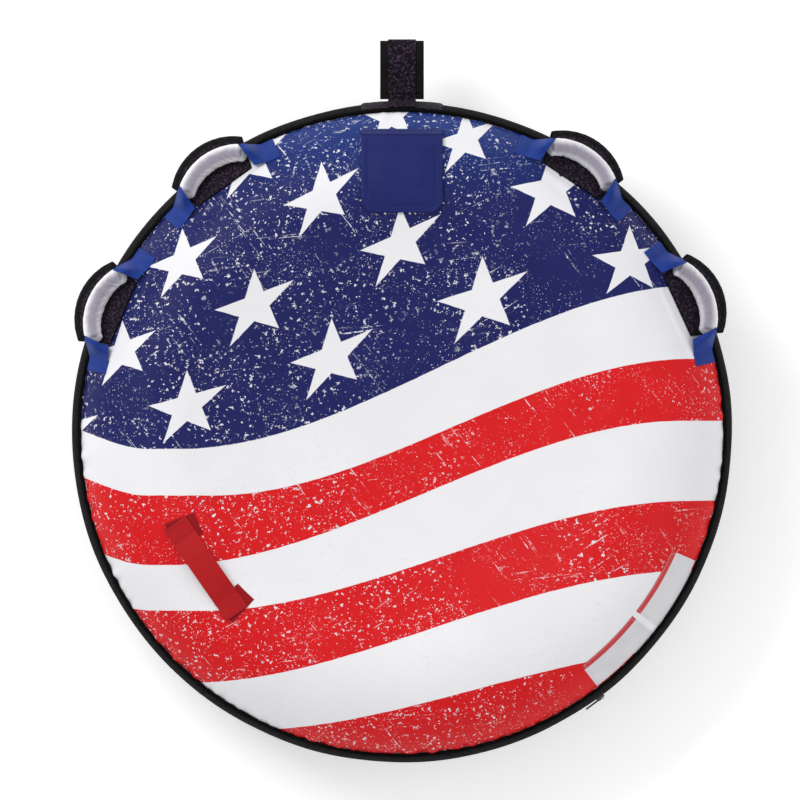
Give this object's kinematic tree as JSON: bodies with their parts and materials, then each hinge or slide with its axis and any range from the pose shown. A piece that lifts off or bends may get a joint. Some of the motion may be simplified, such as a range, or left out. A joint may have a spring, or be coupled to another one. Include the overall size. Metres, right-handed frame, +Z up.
{
  "type": "towable tube",
  "caption": "Round inflatable deck tube for one rider: padded grips on webbing, tow loop, covered valve, rear zip and boarding strap, in a sewn cover with a striped and starred print.",
  "frame": {"origin": "on the ground plane, on the axis of the round tube", "axes": "+Y towards the nose with the tow loop, +Z up, +X to the rider's right when facing the nose"},
  "size_m": [1.1996, 1.316, 0.3568],
  "materials": {
    "cover_print": "matte",
    "cover_black": "matte",
    "bladder_pvc": "satin",
    "piping": "satin",
    "eyelet_brass": "satin",
    "label_white": "satin",
    "pad_black": "matte",
    "web_black": "matte",
    "web_blue": "matte",
    "web_red": "matte",
    "grip_white": "satin",
    "valve_plastic": "satin",
    "valve_grey": "satin",
    "flapper_rubber": "matte",
    "flap_blue": "matte",
    "hook_loop": "matte",
    "zip_tape": "matte",
    "zip_nylon": "satin",
    "zip_metal": "satin"
  },
  "bodies": {
    "tube": {"cover_top": "cover_print", "cover_side": "cover_black", "cover_bottom": "cover_black", "bladder": "bladder_pvc", "seam_piping_top": "piping", "seam_piping_bottom": "piping", "drain_eyelets": "eyelet_brass", "label_panels": "label_white", "nose_patch": "pad_black", "tow_harness": "web_black", "tow_root": "web_black", "valve_base": "valve_grey", "valve_insert": "valve_plastic", "keeper_ring": "valve_plastic", "flap_loop_strip": "hook_loop", "flap_hem": "flap_blue", "zip_tape_upper": "zip_tape", "zip_tape_lower": "zip_tape", "zip_coil": "zip_nylon", "zip_stops": "zip_metal", "zip_end_tabs": "pad_black", "boarding_strap": "web_red", "boarding_patches": "web_red", "knuckle_guard_front_left": "pad_black", "handle_anchors_front_left": "web_blue", "knuckle_guard_side_left": "pad_black", "handle_anchors_side_left": "web_blue", "knuckle_guard_side_right": "pad_black", "handle_anchors_side_right": "web_blue", "knuckle_guard_front_right": "pad_black", "handle_anchors_front_right": "web_blue"},
    "flap": {"valve_flap": "flap_blue", "flap_hook_strip": "hook_loop"},
    "cap_carrier": {"cap_link": "valve_plastic"},
    "cap": {"valve_cap": "valve_plastic"},
    "check_valve": {"check_flapper": "flapper_rubber"},
    "tow_loop": {"tow_liner": "pad_black", "tow_webbing": "web_black"},
    "slider": {"zip_slider": "zip_metal"},
    "pull": {"zip_pull": "zip_metal"},
    "handle_front_left": {"handle_strap_front_left": "web_blue", "handle_grip_front_left": "grip_white"},
    "handle_side_left": {"handle_strap_side_left": "web_blue", "handle_grip_side_left": "grip_white"},
    "handle_side_right": {"handle_strap_side_right": "web_blue", "handle_grip_side_right": "grip_white"},
    "handle_front_right": {"handle_strap_front_right": "web_blue", "handle_grip_front_right": "grip_white"}
  },
  "joints": [
    {"name": "flap_open", "type": "hinge", "parent": "tube", "child": "flap", "pos_m": [0, 0.5368, 0.3098], "axis": [-1, 0, 0], "range_deg": [0, 150]},
    {"name": "cap_flip", "type": "hinge", "parent": "tube", "child": "cap_carrier", "pos_m": [0.0262, 0.44789, 0.33821], "axis": [0, 0.9945, -0.1045], "range_deg": [0, 135]},
    {"name": "cap_turn", "type": "hinge", "parent": "cap_carrier", "child": "cap", "pos_m": [0, 0.44787, 0.33806], "axis": [0, 0.1045, 0.9945], "range_deg": [0, 540]},
    {"name": "check_valve_lift", "type": "slide", "parent": "tube", "child": "check_valve", "axis": [0, -0.1045, -0.9945], "range_m": [0, 0.006], "stiffness_N_per_m": 40},
    {"name": "tow_loop_swing", "type": "hinge", "parent": "tube", "child": "tow_loop", "pos_m": [0, 0.6115, 0.168], "axis": [1, 0, 0], "range_deg": [-65, 65]},
    {"name": "slider_travel", "type": "hinge", "parent": "tube", "child": "slider", "pos_m": [0, 0, 0.1327], "axis": [0, 0, -1], "range_deg": [0, 73.6]},
    {"name": "pull_flip", "type": "hinge", "parent": "slider", "child": "pull", "pos_m": [0.36229, -0.48428, 0.13085], "axis": [0.1245, -0.1665, 0.9781], "range_deg": [0, 165]},
    {"name": "handle_front_left_swing", "type": "hinge", "parent": "tube", "child": "handle_front_left", "pos_m": [-0.3219, 0.44632, 0.28226], "axis": [0.8111, 0.585, 0], "range_deg": [0, 60]},
    {"name": "handle_side_left_swing", "type": "hinge", "parent": "tube", "child": "handle_side_left", "pos_m": [-0.50579, 0.21678, 0.28226], "axis": [0.3939, 0.9191, 0], "range_deg": [0, 60]},
    {"name": "handle_side_right_swing", "type": "hinge", "parent": "tube", "child": "handle_side_right", "pos_m": [0.49994, 0.22995, 0.28226], "axis": [0.4179, -0.9085, 0], "range_deg": [0, 60]},
    {"name": "handle_front_right_swing", "type": "hinge", "parent": "tube", "child": "handle_front_right", "pos_m": [0.30612, 0.45728, 0.28226], "axis": [0.831, -0.5563, 0], "range_deg": [0, 60]}
  ],
  "couplings": [
    {"joint": "cap_flip", "follows": "flap_open", "ratio": 0.9}
  ]
}
